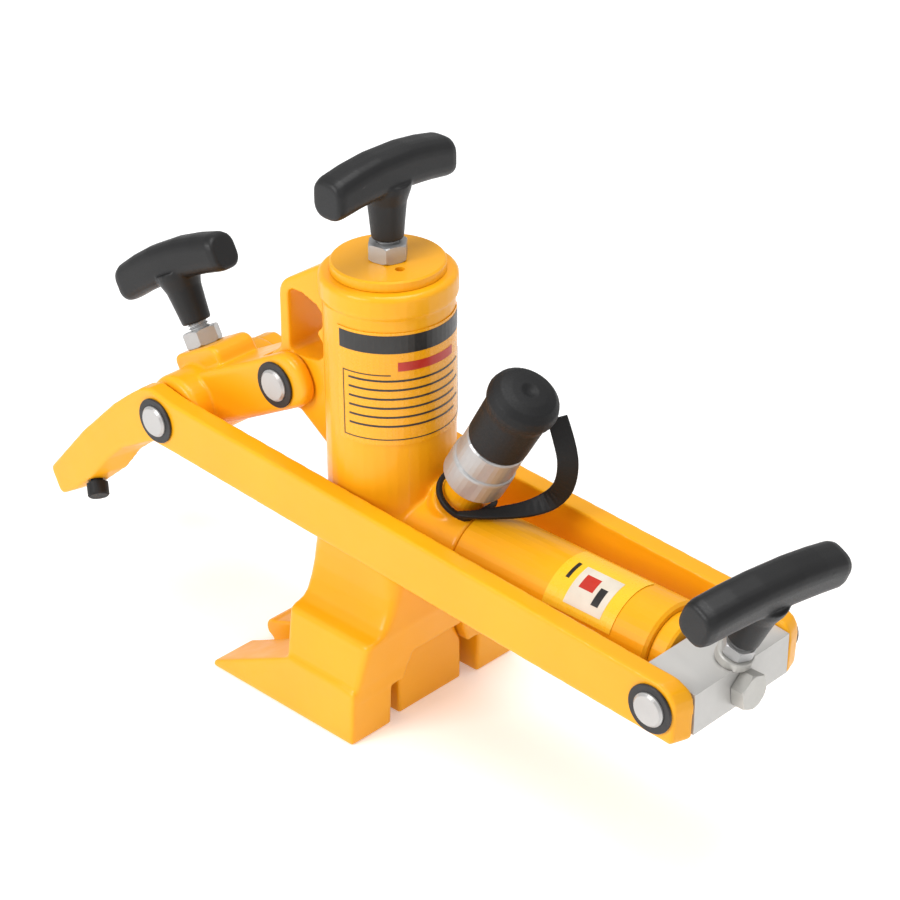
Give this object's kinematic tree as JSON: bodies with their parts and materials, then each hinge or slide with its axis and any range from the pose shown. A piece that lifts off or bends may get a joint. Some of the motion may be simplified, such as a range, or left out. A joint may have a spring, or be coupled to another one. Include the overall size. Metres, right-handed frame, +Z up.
{
  "type": "hydraulic bead breaker",
  "caption": "Two-way hydraulic tyre bead breaker: upright foot ram over wedge toes, horizontal clamp ram, linked claw arms, three T-handles and a capped hose coupler.",
  "frame": {"origin": "where the tower's axis meets the floor, at the underside of the press foot", "axes": "+X along the clamp ram towards the crosshead, +Y towards the rear arm, +Z up the tower"},
  "size_m": [0.5002, 0.1256, 0.3154],
  "materials": {
    "yellow_paint": "gloss",
    "plated_steel": "bright",
    "black_plastic": "satin",
    "black_rubber": "matte",
    "black_oxide": "oxide",
    "label_film": "gloss",
    "bare_aluminium": "milled",
    "zinc_plate": "satin"
  },
  "bodies": {
    "frame": {"tower_body": "yellow_paint", "tower_cap": "yellow_paint", "cap_nut": "plated_steel", "clamp_barrel": "yellow_paint", "barrel_gland": "yellow_paint", "coupler_nipple": "yellow_paint", "coupler_core": "plated_steel", "cap_strap": "black_rubber", "tower_label": "label_film", "barrel_label": "label_film"},
    "cap_handle": {"cap_stud": "plated_steel", "cap_grip": "black_plastic"},
    "foot": {"ram_shoe": "yellow_paint", "ram_rod": "plated_steel", "ram_piston": "plated_steel", "ram_seal": "black_rubber"},
    "crosshead": {"crosshead_block": "bare_aluminium", "clamp_rod": "plated_steel", "clamp_piston": "plated_steel", "clamp_seal": "black_rubber", "hex_bolt": "plated_steel", "block_washer": "plated_steel", "block_nut": "plated_steel", "pin_b_front": "plated_steel", "pin_b_rear": "plated_steel", "ring_b_front": "black_oxide", "ring_b_rear": "black_oxide"},
    "block_handle": {"block_stud": "plated_steel", "block_grip": "black_plastic"},
    "arms": {"arm_front": "yellow_paint", "arm_rear": "yellow_paint", "claw_peg_front": "black_plastic", "claw_peg_rear": "black_plastic"},
    "rocker_link": {"rocker": "yellow_paint", "pin_a": "plated_steel", "ring_a_front": "black_oxide", "ring_a_rear": "black_oxide", "pin_c": "plated_steel", "ring_c_front": "black_oxide", "ring_c_rear": "black_oxide", "rocker_nut": "plated_steel"},
    "rocker_handle": {"rocker_stud": "plated_steel", "rocker_grip": "black_plastic"},
    "sleeve": {"coupler_sleeve": "zinc_plate"},
    "dust_cover": {"dust_cap": "black_rubber"}
  },
  "joints": [
    {"name": "foot_slide", "type": "slide", "parent": "frame", "child": "foot", "axis": [0, 0, -1], "range_m": [0, 0.07]},
    {"name": "clamp_slide", "type": "slide", "parent": "frame", "child": "crosshead", "axis": [1, 0, 0], "range_m": [0, 0.018]},
    {"name": "arm_hinge", "type": "hinge", "parent": "crosshead", "child": "arms", "pos_m": [0.219, 0, 0.1093], "axis": [0, -1, 0], "range_deg": [0, 3.8]},
    {"name": "rocker_hinge", "type": "hinge", "parent": "frame", "child": "rocker_link", "pos_m": [-0.0645, 0, 0.168], "axis": [0, -1, 0], "range_deg": [0, 20.4]},
    {"name": "cap_handle_turn", "type": "hinge", "parent": "frame", "child": "cap_handle", "pos_m": [0, 0, 0.2557], "axis": [0, 0, 1], "continuous": true},
    {"name": "block_handle_turn", "type": "hinge", "parent": "crosshead", "child": "block_handle", "pos_m": [0.2296, 0, 0.1196], "axis": [0.3665, 0, 0.9304], "continuous": true},
    {"name": "rocker_handle_turn", "type": "hinge", "parent": "rocker_link", "child": "rocker_handle", "pos_m": [-0.14696, 0, 0.15484], "axis": [-0.4752, 0, 0.8799], "continuous": true},
    {"name": "sleeve_turn", "type": "hinge", "parent": "frame", "child": "sleeve", "pos_m": [0.0494, 0, 0.1344], "axis": [0.512, 0, 0.859], "continuous": true},
    {"name": "dust_cap_pull", "type": "slide", "parent": "frame", "child": "dust_cover", "axis": [0.512, 0, 0.859], "range_m": [0, 0.06]}
  ],
  "couplings": [
    {"joint": "arm_hinge", "follows": "clamp_slide", "rad_per_m": 3.5779},
    {"joint": "rocker_hinge", "follows": "clamp_slide", "rad_per_m": 19.635}
  ]
}
